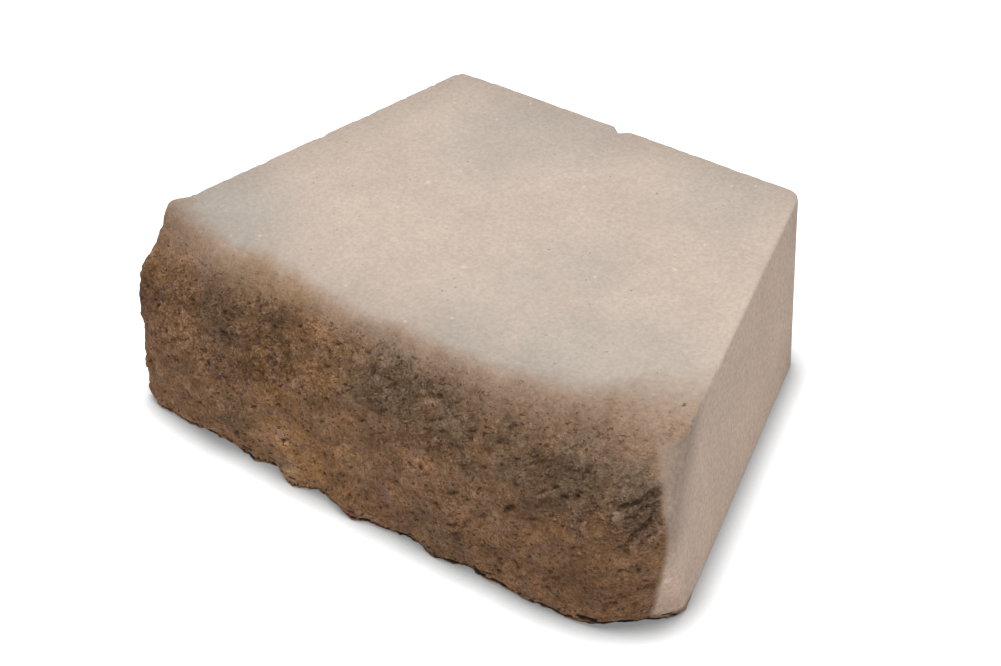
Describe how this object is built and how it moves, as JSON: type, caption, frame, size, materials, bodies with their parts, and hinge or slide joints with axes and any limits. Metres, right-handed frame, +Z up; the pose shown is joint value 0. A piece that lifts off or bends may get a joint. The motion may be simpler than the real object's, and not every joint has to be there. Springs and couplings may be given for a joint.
{
  "type": "retaining wall block",
  "caption": "Cast concrete retaining wall block, tapered in plan, with a split rock face, flat moulded bed, top, sides and back, and an upright splitting notch in the back.",
  "frame": {"origin": "the middle of the bed, the flat underside, below the middle of the block's bounding box", "axes": "+X along the rock face, +Y from the rock face to the moulded back, +Z up from the bed to the top"},
  "size_m": [0.3061, 0.207, 0.102],
  "materials": {
    "concrete": "matt dry-mix concrete: pale buff-grey where moulded, rough brown mottled stone on the split face"
  },
  "bodies": {
    "root": {"wall_block": "concrete"}
  },
  "joints": []
}
